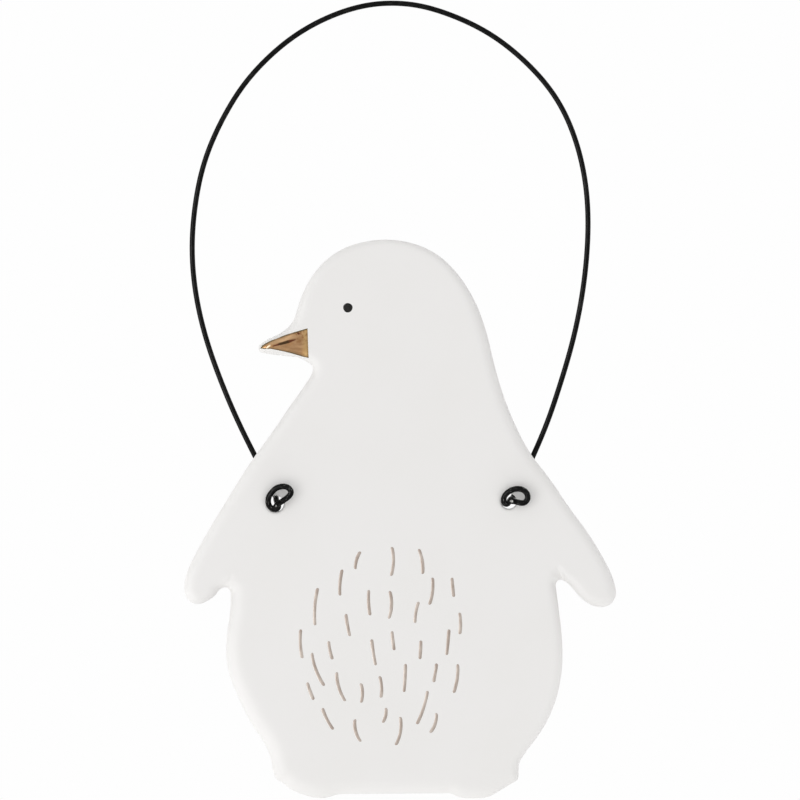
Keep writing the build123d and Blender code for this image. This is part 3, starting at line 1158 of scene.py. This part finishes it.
@dataclass
class PenguinBody:
    """The porcelain body: front, back, edge and the walls of the two holes.

    Its mesh has rings inside the outline and round the holes, rows beside the
    creases, and two grids. A point that lies too near to earlier ones is left out.
    """

    figure: Figure
    gilding: BeakGilding
    cell: float = 1.5
    ring_offsets: tuple[float, ...] = (0.02, 0.07, 0.16, 0.3, 0.5, 0.78, 1.12, 1.55, 2.1, 2.8, 3.6, 4.4)
    rim_offsets: tuple[float, ...] = (0.03, 0.1, 0.22, 0.4, 0.62, 0.9, 1.4)
    crease_offsets: tuple[float, ...] = (0.15, 0.35, 0.6, 0.95, 1.4, 1.9)
    ring_least_share: float = 0.95
    ring_gap_share: float = 0.45
    crease_gap: float = 0.12
    beak_gap: float = 0.22
    beak_margin: float = 0.5
    grid_gap: float = 0.7
    row_share: float = 0.866
    edge_gap: float = 0.015
    rim_gap: float = 0.02
    hole_steps: int = 48
    name: str = "penguin_body_porcelain"
    flat: np.ndarray = field(init=False, repr=False)
    triangles: Faces = field(init=False, repr=False)
    front: np.ndarray = field(init=False, repr=False)

    def build(self) -> bpy.types.Object:
        """Meshes the body.

        Returns:
            The closed porcelain body.
        """
        self.flat, self.triangles = self._mesh_face()
        self.front = self.figure.front(self.flat)
        back = self.figure.back(self.flat)
        points = np.vstack([at_depth(self.flat, self.front), at_depth(self.flat, back)])
        size = len(self.flat)
        faces = self.triangles + [[c + size for c in t[::-1]] for t in self.triangles]
        faces += [[b, a, a + size, b + size] for a, b in rim_edges(self.triangles)]
        return make_object(self.name, points, faces, [BisquePorcelain("bisque_porcelain_white")])

    def _mesh_face(self) -> tuple[np.ndarray, Faces]:
        """Triangulates the face between its outline and its holes.

        Returns:
            The places on the face, and triangles that face the front.
        """
        figure = self.figure
        rims = [figure.hole_ring(side, 0.0, self.hole_steps) for side in Side]
        points: list[np.ndarray] = []
        edges: list[tuple[int, int]] = []
        for loop in (figure.line, *rims, self.gilding.loop()):
            first = len(points)
            points += list(loop)
            edges += [(first + i, first + (i + 1) % len(loop)) for i in range(len(loop))]
        for side in Side:
            for offset in self.rim_offsets:
                points += list(figure.hole_ring(side, offset, self.hole_steps))
        points += self._inner_points(points)
        raw = [(float(p[0]), float(p[1])) for p in points]
        made, _, faces, _, _, _ = delaunay_2d_cdt(raw, edges, [], 1, TINY)
        flat = np.array([(p[0], p[1]) for p in made])
        middles = np.array([flat[list(face)].mean(axis=0) for face in faces])
        keep = inside(middles, figure.line)
        for side in Side:
            keep &= figure.from_hole(middles, side) > 0
        chosen = []
        for face in (list(face) for face, is_kept in zip(faces, keep) if is_kept):
            a, b, c = flat[face[:3]]
            turn = (b[0] - a[0]) * (c[1] - a[1]) - (b[1] - a[1]) * (c[0] - a[0])
            chosen.append(face if turn > 0 else face[::-1])
        return flat, chosen

    def _groups(self) -> list[tuple[np.ndarray, float]]:
        """Gives the rings, the rows beside the creases and the grids.

        Returns:
            The points of each group, and how far apart from earlier ones they have to be.
        """
        figure = self.figure
        groups = []
        for before, offset in zip((0.0, *self.ring_offsets), self.ring_offsets):
            ring = figure.line + figure.inwards * offset
            true = distance_to_line(ring, figure.fine_line)
            ring = ring[(true > offset * self.ring_least_share) & inside(ring, figure.line)]
            groups.append((ring, (offset - before) * self.ring_gap_share))
        for side in Side:
            line = figure.crease(side)
            heading = (line[-1] - line[0]) / np.hypot(*(line[-1] - line[0]))
            aside = np.array([-heading[1], heading[0]])
            both = [sign * offset for offset in self.crease_offsets for sign in (1, -1)]
            groups += [(line + aside * offset, self.crease_gap) for offset in (0, *both)]
        beak = self.gilding.loop()
        low, high = beak.min(axis=0) - self.beak_margin, beak.max(axis=0) + self.beak_margin
        groups.append((self._grid(low, high, self.gilding.cell), self.beak_gap))
        low, high = figure.line.min(axis=0), figure.line.max(axis=0)
        groups.append((self._grid(low, high, self.cell), self.grid_gap))
        return groups

    def _inner_points(self, taken: Sequence[np.ndarray]) -> list[np.ndarray]:
        """Chooses the points inside the outline.

        Args:
            taken: The places that are used already.

        Returns:
            The further places.
        """
        figure = self.figure
        chosen: list[np.ndarray] = []
        for group, apart in self._groups():
            if len(group):
                reach = distance_to_line(group, figure.fine_line)
                free = inside(group, figure.line) & (reach > self.edge_gap)
                for side in Side:
                    free &= figure.from_hole(group, side) > self.rim_gap
                tree = search_tree([*taken, *chosen])
                chosen += [p for p in group[free] if tree.find((p[0], p[1], 0.0))[2] >= apart]
        return chosen

    def _grid(self, low: np.ndarray, high: np.ndarray, cell: float) -> np.ndarray:
        """Gives a staggered grid over a box on the face.

        Args:
            low: The box's lower left corner.
            high: Its upper right corner.
            cell: The distance between the points of a row.

        Returns:
            The points.
        """
        points = []
        for index, z in enumerate(np.arange(low[1], high[1], cell * self.row_share)):
            shift = cell / 2 if index % 2 else 0.0
            points += [(x, z) for x in np.arange(low[0] + shift, high[0], cell)]
        return np.array(points)


@dataclass
class EyeDot:
    """The black dot of the eye, a low dome of enamel.

    Each of its wobbles has a size, a number of waves round the rim and a start.
    """

    figure: Figure
    place_share: Pair = (-0.1048, 0.8770)
    radius: float = 0.95
    dome: float = 0.11
    dome_power: float = 2.4
    sink: float = 0.05
    rings: tuple[float, ...] = (1.0, 0.99, 0.95, 0.87, 0.74, 0.55, 0.3)
    wobbles: tuple[Triple, ...] = ((0.018, 3, 0.6), (0.01, 5, 0.0))
    steps: int = 40
    name: str = "eye_dot_enamel"

    def build(self) -> bpy.types.Object:
        """Meshes the dot.

        Returns:
            The closed dome.
        """
        middle = self.figure.at(*self.place_share)
        points = [(middle[0], -self.figure.half - self.dome, middle[1])]
        for ring in self.rings:
            lift = self.dome * math.sqrt(1 - ring**self.dome_power) if ring < 1 else -self.sink
            for index in range(self.steps):
                angle = 2 * math.pi * index / self.steps
                wobble = 1.0
                for size, waves, start in self.wobbles:
                    wobble += size * math.sin(waves * angle + start)
                reach = self.radius * ring * wobble
                x, z = middle[0] + reach * math.cos(angle), middle[1] + reach * math.sin(angle)
                points.append((x, -self.figure.half - lift, z))
        starts = [1 + ring * self.steps for ring in range(len(self.rings))]
        faces = [list(range(self.steps, 0, -1))]
        for outer, inner in zip(starts, starts[1:]):
            faces += ring_faces(outer, inner, self.steps)
        faces += fan_faces(starts[-1], 0, self.steps)
        return make_object(self.name, np.array(points), faces, [BlackEnamel("black_enamel_gloss")])


@dataclass
class BellyFeathers:
    """The short brush strokes of bronze lustre on the belly.

    Each stroke has its start, its end and its bow, as shares of the plumage and of
    the stroke's own length. The brush presses in waves that differ by stroke.
    """

    figure: Figure
    plumage_width: float = 32.0
    plumage_height: float = 39.6
    place_share: Pair = (-0.031, 0.096)
    stroke_width: float = 0.7
    least_half: float = 0.02
    lead: float = 0.15
    film: float = 0.05
    tip_share: float = 0.35
    sink: float = 0.04
    press: float = 0.06
    press_by_stroke: float = 2.3
    press_along: float = 5
    across: tuple[float, ...] = (-1.0, -0.86, -0.5, 0.0, 0.5, 0.86, 1.0)
    stroke_shares: tuple[tuple[float, ...], ...] = (
        (-0.123, 0.975, -0.154, 0.889, -0.07), (0.075, 0.998, 0.070, 0.855, 0.07),
        (0.244, 0.988, 0.268, 0.865, 0.06), (-0.235, 0.884, -0.249, 0.756, -0.04),
        (0.329, 0.843, 0.309, 0.710, 0.06), (0.451, 0.843, 0.462, 0.749, -0.01),
        (-0.388, 0.791, -0.405, 0.606, -0.04), (-0.069, 0.781, -0.061, 0.656, -0.03),
        (0.062, 0.776, 0.056, 0.639, 0.08), (0.241, 0.721, 0.219, 0.618, -0.04),
        (0.498, 0.667, 0.499, 0.561, 0.04), (-0.211, 0.660, -0.187, 0.551, -0.02),
        (-0.494, 0.582, -0.484, 0.440, -0.04), (0.076, 0.573, 0.090, 0.480, -0.01),
        (0.431, 0.582, 0.417, 0.456, 0.01), (-0.319, 0.523, -0.296, 0.434, -0.03),
        (0.256, 0.526, 0.250, 0.435, 0.01), (-0.051, 0.532, -0.026, 0.404, -0.01),
        (-0.423, 0.464, -0.347, 0.301, -0.06), (0.160, 0.408, 0.151, 0.269, 0.01),
        (0.354, 0.410, 0.336, 0.319, 0.01), (0.486, 0.407, 0.461, 0.265, 0.05),
        (-0.269, 0.366, -0.216, 0.223, -0.07), (-0.001, 0.346, 0.007, 0.241, 0.06),
        (-0.452, 0.315, -0.413, 0.230, -0.02), (-0.119, 0.310, -0.117, 0.215, 0.08),
        (0.297, 0.272, 0.231, 0.107, 0.04), (0.038, 0.186, 0.018, 0.114, 0.08),
        (-0.357, 0.185, -0.290, 0.080, -0.04), (0.352, 0.160, 0.314, 0.064, 0.10),
        (-0.154, 0.129, -0.119, 0.019, -0.10), (0.127, 0.141, 0.099, 0.001, 0.09),
    )
    along_steps: int = 18
    name: str = "belly_feathers_lustre"

    def build(self) -> bpy.types.Object:
        """Meshes all the strokes.

        Returns:
            One piece with a closed low ridge for each stroke.
        """
        points: list[Triple] = []
        faces: Faces = []
        for number, shares in enumerate(self.stroke_shares):
            faces += self._stroke_faces(len(points))
            points += self._stroke_points(number, shares)
        return make_object(self.name, np.array(points), faces, [BronzeLustre("bronze_lustre_strokes")])

    def _stroke_points(self, number: int, shares: Sequence[float]) -> list[Triple]:
        """Gives the points of one stroke.

        Args:
            number: Which stroke it is, which sets its small irregularities.
            shares: Its start, its end and its bow.

        Returns:
            The points of one row after the other, from the stroke's start to its end.
        """
        foot = self.figure.at(*self.place_share)
        size = np.array([self.plumage_width, self.plumage_height])
        start = foot + np.array(shares[0:2]) * size
        run = foot + np.array(shares[2:4]) * size - start
        length = float(np.hypot(*run))
        along = run / length
        start, run, length = start - along * self.lead, run + along * self.lead, length + self.lead
        sideways = np.array([-along[1], along[0]])
        cap = self.stroke_width / 2
        points = []
        for row in range(self.along_steps + 1):
            share = 0.5 - 0.5 * math.cos(math.pi * row / self.along_steps)
            bow = shares[4] * length * 4 * share * (1 - share)
            middle = start + run * share + sideways * bow
            to_end = min(1.0, min(share, 1 - share) * length / cap)
            ease = math.sqrt(max(0.0, 1 - (1 - to_end) ** 2))
            press = 1 + self.press * math.sin(number * self.press_by_stroke + share * self.press_along)
            half = max(self.least_half, cap * ease * press)
            for place in self.across:
                spot = middle + sideways * place * half
                lift = self.film * math.sqrt(1 - place**2) * (self.tip_share + (1 - self.tip_share) * ease)
                sink = self.sink if abs(place) == 1 else 0.0
                points.append((spot[0], -self.figure.half - lift + sink, spot[1]))
        return points

    def _stroke_faces(self, first: int) -> Faces:
        """Gives the faces of one stroke.

        Args:
            first: The number of its first point.

        Returns:
            The faces of its top, its two ends and its underside.
        """
        width = len(self.across)
        rows = [first + row * width for row in range(self.along_steps)]
        faces = [[a + width, a + width + 1, a + 1, a] for row in rows for a in range(row, row + width - 1)]
        last = first + self.along_steps * width
        faces.append(list(range(first, first + width))[::-1])
        faces.append(list(range(last, last + width)))
        return faces + [[a, a + width - 1, a + 2 * width - 1, a + width] for a in rows]


# The wire


@dataclass(frozen=True)
class Pass:
    """How the wire goes through one hole, and the curl that it ends in.

    Places are in millimetres from the hole's even place. Those on the curl have
    how far they are lifted off the face as well.
    """

    entry: Pair
    leave: Pair
    curl: tuple[Triple, ...]


@dataclass
class HangerWire:
    """The one wire: a standing arch, a pass through each hole and a curl at each end.

    The thicker coat of the curls starts coat_above over the holes and is full
    coat_fade further down. A cut faces partly along the wire and partly forwards.
    Each row of cut_rings is a ring on it, as a share of the wire's radius and how
    far it stands out. The coating reaches in over coated_rings rings of faces, and
    what lies within them is bare steel.
    """

    figure: Figure
    diameter: float = 1.0
    arch_coat: float = 0.034
    curl_coat: float = 0.08
    coat_above: float = 12
    coat_fade: float = 8
    width: float = 79.2
    back_gap: float = 0.15
    curl_gap: float = 0.2
    swing: float = math.radians(15)
    shoulder_rise_share: float = 0.107
    through_shares: tuple[float, ...] = (0.0, 0.3, 0.62, 1.0)
    around: int = 20
    longest_step: float = 1.2
    least_steps: int = 4
    cut_rings: tuple[Pair, ...] = ((0.9, 0.03), (0.44, 0.05), (0.34, 0.075))
    coated_rings: int = 2
    cut_crown: float = 0.08
    slant_ahead: float = 0.55
    slant_forward: float = 0.85
    left_core: float = 0.72
    arch_shares: tuple[Pair, ...] = (
        (-0.738, 0.875), (-0.848, 0.778), (-0.936, 0.682), (-0.995, 0.585), (-1.016, 0.489),
        (-0.997, 0.392), (-0.937, 0.295), (-0.821, 0.199), (-0.703, 0.134), (-0.5295, 0.070),
        (-0.337, 0.025), (-0.155, 0.001), (-0.004, -0.005), (0.148, 0.0015), (0.3295, 0.025),
        (0.511, 0.063), (0.693, 0.123), (0.842, 0.199), (0.939, 0.295), (0.980, 0.392),
        (0.980, 0.489), (0.953, 0.585), (0.902, 0.682), (0.8305, 0.778), (0.741, 0.875),
    )
    left: Pass = Pass(
        entry=(-0.405, 1.425),
        leave=(0.28, -0.80),
        curl=(
            (0.04, -1.18, 0.05), (-0.52, -1.27, 0.12), (-1.14, -1.00, 0.18), (-1.58, -0.44, 0.22),
            (-1.73, 0.42, 0.30), (-1.50, 1.38, 0.36), (-0.88, 2.24, 0.42), (-0.14, 2.90, 0.48),
            (0.80, 3.24, 0.56), (1.72, 3.25, 0.66), (2.48, 2.84, 0.78), (2.83, 2.14, 0.92),
            (2.50, 1.42, 1.04), (1.80, 0.80, 1.14), (1.04, 0.30, 1.20), (0.36, -0.16, 1.24),
            (-0.04, -0.54, 1.24),
        ),
    )
    right: Pass = Pass(
        entry=(0.8, 1.155),
        leave=(-0.60, -0.24),
        curl=(
            (-0.92, -0.16, 0.02), (-1.17, 0.32, 0.08), (-1.17, 0.84, 0.14), (-0.96, 1.42, 0.20),
            (-0.44, 2.03, 0.28), (0.34, 2.52, 0.36), (1.22, 2.77, 0.46), (2.10, 2.77, 0.56),
            (2.88, 2.45, 0.68), (3.42, 1.88, 0.80), (3.61, 1.14, 0.92), (3.42, 0.46, 1.02),
            (2.88, 0.02, 1.10), (2.08, 0.00, 1.16), (1.24, 0.22, 1.20), (0.42, 0.34, 1.22),
        ),
    )
    name: str = "hanger_wire_coated"

    @property
    def radius(self) -> float:
        """Half the wire's diameter."""
        return self.diameter / 2

    @property
    def lean(self) -> float:
        """How far back the arch goes for each millimetre of drop."""
        drop = self.figure.arch_height - self.shoulder_rise_share * self.figure.height
        return (self.figure.half + self.radius + self.back_gap) / drop

    def behind(self, x: float, z: float) -> Triple:
        """Gives a place on the leaning plane of the arch."""
        return (x, -self.lean * z, z)

    def in_front(self, x: float, z: float, lift: float) -> Triple:
        """Gives a place on a curl that clears the face at every tilt of the figure.

        Args:
            x: How far right it is.
            z: How high it is.
            lift: How far it is lifted beyond the least gap.

        Returns:
            The place.
        """
        rise = z + self.figure.arch_height
        depth = self.figure.half + self.radius + self.curl_gap + lift
        return (x, -(depth + rise * math.sin(self.swing)) / math.cos(self.swing), z)

    def _end(self, side: Side) -> list[Triple]:
        """Gives the places from behind one hole, through it and round its curl.

        Args:
            side: Which hole.

        Returns:
            The places, up to the cut end.
        """
        x, z = side.value * self.figure.hole_spacing / 2, -self.figure.arch_height
        way = self.left if side is Side.LEFT else self.right
        back = np.array(self.behind(x + way.entry[0], z + way.entry[1]))
        face = np.array(self.in_front(x + way.leave[0], z + way.leave[1], 0))
        through = [tuple(back + (face - back) * share) for share in self.through_shares]
        return through + [self.in_front(x + right, z + up, lift) for right, up, lift in way.curl]

    def path(self) -> np.ndarray:
        """Gives the places that the wire's middle goes through, from end to end."""
        arch = [self.behind(x * self.width / 2, -z * self.figure.arch_height) for x, z in self.arch_shares]
        return np.array(self._end(Side.LEFT)[::-1] + arch + self._end(Side.RIGHT))

    def build(self) -> bpy.types.Object:
        """Meshes the wire as one tube with its two cut ends.

        Returns:
            The wire.
        """
        line = smooth_line(self.path(), self.longest_step, self.least_steps)
        tangents = np.gradient(line, axis=0)
        tangents /= np.linalg.norm(tangents, axis=1)[:, None]
        lengths = np.concatenate([[0], np.cumsum(np.linalg.norm(np.diff(line, axis=0), axis=1))])
        log.info("wire length %.1f mm in %d rings", lengths[-1], len(line))
        points: list[np.ndarray] = []
        for place, tangent, side in zip(line, tangents, carried_sides(line, tangents)):
            up = np.cross(tangent, side)
            drop = -place[2] - self.figure.arch_height
            low = min(1.0, max(0.0, (drop + self.coat_above) / self.coat_fade))
            thick = self.radius + self.arch_coat + (self.curl_coat - self.arch_coat) * low
            for index in range(self.around):
                angle = 2 * math.pi * index / self.around
                points.append(place + (side * math.cos(angle) + up * math.sin(angle)) * thick)
        faces: Faces = []
        for first in range(0, len(points) - self.around, self.around):
            faces += ring_faces(first, first + self.around, self.around)
        tube, last = len(faces), len(points) - self.around
        faces += [face[::-1] for face in self._cut(points, 0, line[0], -tangents[0], self.left_core)]
        faces += self._cut(points, last, line[-1], tangents[-1], 1.0)
        finishes = [CoatedWire("black_wire_satin"), CutSteel("cut_steel")]
        piece = make_object(self.name, np.array(points), faces, finishes)
        self._unwrap(piece, lengths, tube)
        return piece

    def _cut(
        self, points: list[np.ndarray], first: int, end: np.ndarray, outward: np.ndarray, core: float
    ) -> Faces:
        """Closes one end with a slanted cut: a ring of coating round a core of bare steel.

        Args:
            points: The points so far, which grow.
            first: The number of the end ring's first point.
            end: The middle of the end ring.
            outward: The direction in which the wire ends.
            core: How wide the bare core is, as a share of its usual width.

        Returns:
            Faces that face outwards at the wire's last end.
        """
        ring = range(first, first + self.around)
        slant = outward * self.slant_ahead + np.array([0.0, -1.0, 0.0]) * self.slant_forward
        slant /= np.linalg.norm(slant)
        for index in ring:
            away = points[index] - end
            points[index] = points[index] - outward * float(away @ slant) / float(outward @ slant)
        loops = [first]
        for number, (share, crown) in enumerate(self.cut_rings):
            share *= core if number else 1.0
            loops.append(len(points))
            points += [end + (points[index] - end) * share + slant * crown for index in ring]
        points.append(end + slant * self.cut_crown)
        faces = [face for pair in zip(loops, loops[1:]) for face in ring_faces(*pair, self.around)]
        return faces + fan_faces(loops[-1], len(points) - 1, self.around)

    def _unwrap(self, piece: bpy.types.Object, lengths: np.ndarray, tube: int) -> None:
        """Gives the tube its coordinates around and along, and its ends their steel.

        Args:
            piece: The wire.
            lengths: How far each ring is along the wire.
            tube: How many faces the tube has.
        """
        layer = piece.data.uv_layers.new(name="around_and_along")
        for number, face in enumerate(piece.data.polygons):
            row, index = divmod(number, self.around)
            inwards = (row - tube // self.around) % (len(self.cut_rings) + 1)
            if number >= tube and inwards >= self.coated_rings:
                face.material_index = 1
            for corner, loop in enumerate(face.loop_indices):
                if number >= tube:
                    layer.data[loop].uv = (0.5, 0.5)
                    continue
                turn = index + (1 if corner in (1, 2) else 0)
                ring = row + (1 if corner in (2, 3) else 0)
                layer.data[loop].uv = (turn / self.around, float(lengths[ring]) / float(lengths[-1]))


def smooth_line(places: np.ndarray, longest: float, least: int) -> np.ndarray:
    """Runs a smooth curve through places, close together where it bends hard.

    Args:
        places: The places to go through, one row each.
        longest: The longest step along the curve.
        least: The fewest steps between two places.

    Returns:
        Points along the curve.
    """
    gaps = np.linalg.norm(np.diff(places, axis=0), axis=1)
    steps = np.diff(np.concatenate([[0], np.cumsum(np.sqrt(gaps))]))
    count = len(places)
    matrix = np.zeros((count, count))
    right = np.zeros((count, 3))
    matrix[0, 0] = matrix[-1, -1] = 1
    for i in range(1, count - 1):
        matrix[i, i - 1 : i + 2] = steps[i - 1], 2 * (steps[i - 1] + steps[i]), steps[i]
        right[i] = 6 * ((places[i + 1] - places[i]) / steps[i] - (places[i] - places[i - 1]) / steps[i - 1])
    bend = np.linalg.solve(matrix, right)
    points = []
    for i in range(count - 1):
        pieces = max(least, math.ceil(gaps[i] / longest))
        for b in (k / pieces for k in range(pieces)):
            a = 1 - b
            bow = ((a**3 - a) * bend[i] + (b**3 - b) * bend[i + 1]) * steps[i] ** 2 / 6
            points.append(a * places[i] + b * places[i + 1] + bow)
    points.append(places[-1])
    return np.array(points)


def mirrored(vector: np.ndarray, normal: np.ndarray) -> np.ndarray:
    """Mirrors a vector in the plane that a normal stands on."""
    return vector - 2 * float(normal @ vector) / float(normal @ normal) * normal


def carried_sides(line: np.ndarray, tangents: np.ndarray) -> np.ndarray:
    """Carries one side direction along a curve without twisting it.

    Args:
        line: The curve's points.
        tangents: Its unit directions.

    Returns:
        A unit direction across the curve at each point.
    """
    side = np.cross(tangents[0], [0.0, 1.0, 0.0])
    sides = [side / np.linalg.norm(side)]
    for step, before, tangent in zip(np.diff(line, axis=0), tangents, tangents[1:]):
        side = mirrored(sides[-1], step)
        turn = tangent - mirrored(before, step)
        side = mirrored(side, turn) if float(turn @ turn) > TINY**2 else side
        side = side - tangent * float(side @ tangent)
        sides.append(side / np.linalg.norm(side))
    return np.array(sides)


# The studio


@dataclass(frozen=True)
class Lamp:
    """A soft rectangular lamp: its name, its size and place in metres and its power."""

    name: str
    size: Pair
    watts: float
    place: Triple

    def hang(self, target: np.ndarray) -> bpy.types.Object:
        """Hangs the lamp.

        Args:
            target: The place that it faces.

        Returns:
            The lamp, which the camera doesn't see.
        """
        light = bpy.data.lights.new(self.name, "AREA")
        light.shape = "RECTANGLE"
        light.size, light.size_y = self.size
        light.energy = self.watts
        lamp = bpy.data.objects.new(self.name, light)
        lamp.location = self.place
        across, away, up = target - np.array(self.place)
        tilt = math.pi / 2 + math.atan2(up, math.hypot(across, away))
        lamp.rotation_euler = (tilt, 0.0, math.atan2(away, across) - math.pi / 2)
        lamp.visible_camera = False
        bpy.context.scene.collection.objects.link(lamp)
        return lamp


@dataclass
class Studio:
    """The floor, the soft light, the white around it and the camera, in metres."""

    view_width: float = 0.16
    camera_distance: float = 3.0
    camera_x: float = 0.00135
    camera_z: float = -0.07886
    sensor_width: float = 36.0
    clip_end: float = 50.0
    floor_z: float = -0.6
    floor_radius: float = 0.25
    floor_steps: int = 96
    level: float = 0.5286
    from_left: float = 0.112
    from_below: float = 0.2
    from_behind: float = 0.29
    in_front: float = 1.44
    front_rise: Pair = (0.55, 1.0)
    round_edge: float = 1.66
    edge_rise: Pair = (0.0, 0.1)
    edge_fall: Pair = (0.1, 0.7)
    soft: Lamp = Lamp("soft_left", (0.4, 0.6), 0.63, (-0.45, -0.56, -0.22))
    strip: Lamp = Lamp("gloss_strip", (0.3, 1.1), 17.0, (-0.9, -1.0, -0.22))

    def build(self) -> None:
        """Sets up the view transform, the floor, the world, the lamps and the camera.

        The lamp called strip is narrow, and only glosses show it.
        """
        bpy.context.scene.view_settings.view_transform = "Standard"
        self._floor()
        self._world()
        target = np.array([0.0, 0.0, self.camera_z])
        self.soft.hang(target)
        self.strip.hang(target).visible_diffuse = False
        self._camera()

    def _floor(self) -> None:
        """Lays a round pale floor well below the feet."""
        rim = circle(np.zeros(2), self.floor_radius / MM, self.floor_steps)
        points = np.column_stack([rim, np.zeros(len(rim))])
        floor = make_object("studio_floor", points, [range(len(rim))], [PaleGround("pale_ground")])
        floor.location = (0.0, 0.0, self.floor_z)

    def _world(self) -> None:
        """Makes the white surroundings, brighter in front, behind the edges, from the left and below."""
        world = bpy.data.worlds.new("white_studio")
        bpy.context.scene.world = world
        world.use_nodes = True
        graph = Graph(world.node_tree)
        seen = graph.node("ShaderNodeLightPath", out="Is Camera Ray")
        rays = seen.socket.node.outputs
        for name in ("Is Glossy Ray", "Is Transmission Ray"):
            seen = seen.most(Signal(graph, rays[name]))
        way = graph.place("Generated")
        across, away, up = (graph.part(way, axis) for axis in "XYZ")
        strength = self.level - across * self.from_left + away * self.from_behind - up * self.from_below
        strength = strength + (away * -1.0).rise(*self.front_rise) * self.in_front
        strength = strength + away.within(self.edge_rise, self.edge_fall) * self.round_edge
        soft, white = (
            graph.node("ShaderNodeBackground", sockets={"Color": PURE_WHITE, "Strength": value})
            for value in (strength, SURROUNDING_WHITE)
        )
        both = graph.node("ShaderNodeMixShader", sockets={0: seen, 1: soft, 2: white})
        graph.node("ShaderNodeOutputWorld", sockets={"Surface": both})

    def _camera(self) -> None:
        """Stands the camera straight in front of the figure."""
        data = bpy.data.cameras.new("front")
        data.sensor_width = self.sensor_width
        data.lens = self.sensor_width * self.camera_distance / self.view_width
        data.clip_end = self.clip_end
        camera = bpy.data.objects.new("front", data)
        camera.location = (self.camera_x, -self.camera_distance, self.camera_z)
        camera.rotation_euler = (math.pi / 2, 0.0, 0.0)
        bpy.context.scene.collection.objects.link(camera)
        bpy.context.scene.camera = camera


def dress(piece: bpy.types.Object, body: str, node: str) -> None:
    """Puts a piece in the frame in place of a CAD node and logs it.

    Args:
        piece: The piece.
        body: The body that it moves with.
        node: The node that it stands for.
    """
    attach(piece, body)
    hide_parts(node)
    log.info("%s: %d faces, rides on %s", piece.name, len(piece.data.polygons), body)


def main() -> None:
    """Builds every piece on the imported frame."""
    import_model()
    figure = Figure()
    gilding = BeakGilding(figure)
    body = PenguinBody(figure, gilding)
    dress(body.build(), "figure", "penguin_body")
    film = gilding.build(body.flat, body.triangles, body.front)
    dress(film, "figure", "beak_gilding")
    dress(EyeDot(figure).build(), "figure", "eye_dot")
    dress(BellyFeathers(figure).build(), "figure", "belly_feathers")
    dress(HangerWire(figure).build(), "hanger", "hanger_wire")
    Studio().build()
    log.info("every piece is in place")


if __name__ == "__main__":
    logging.basicConfig(level=logging.INFO, format="%(name)s %(message)s")
    main()
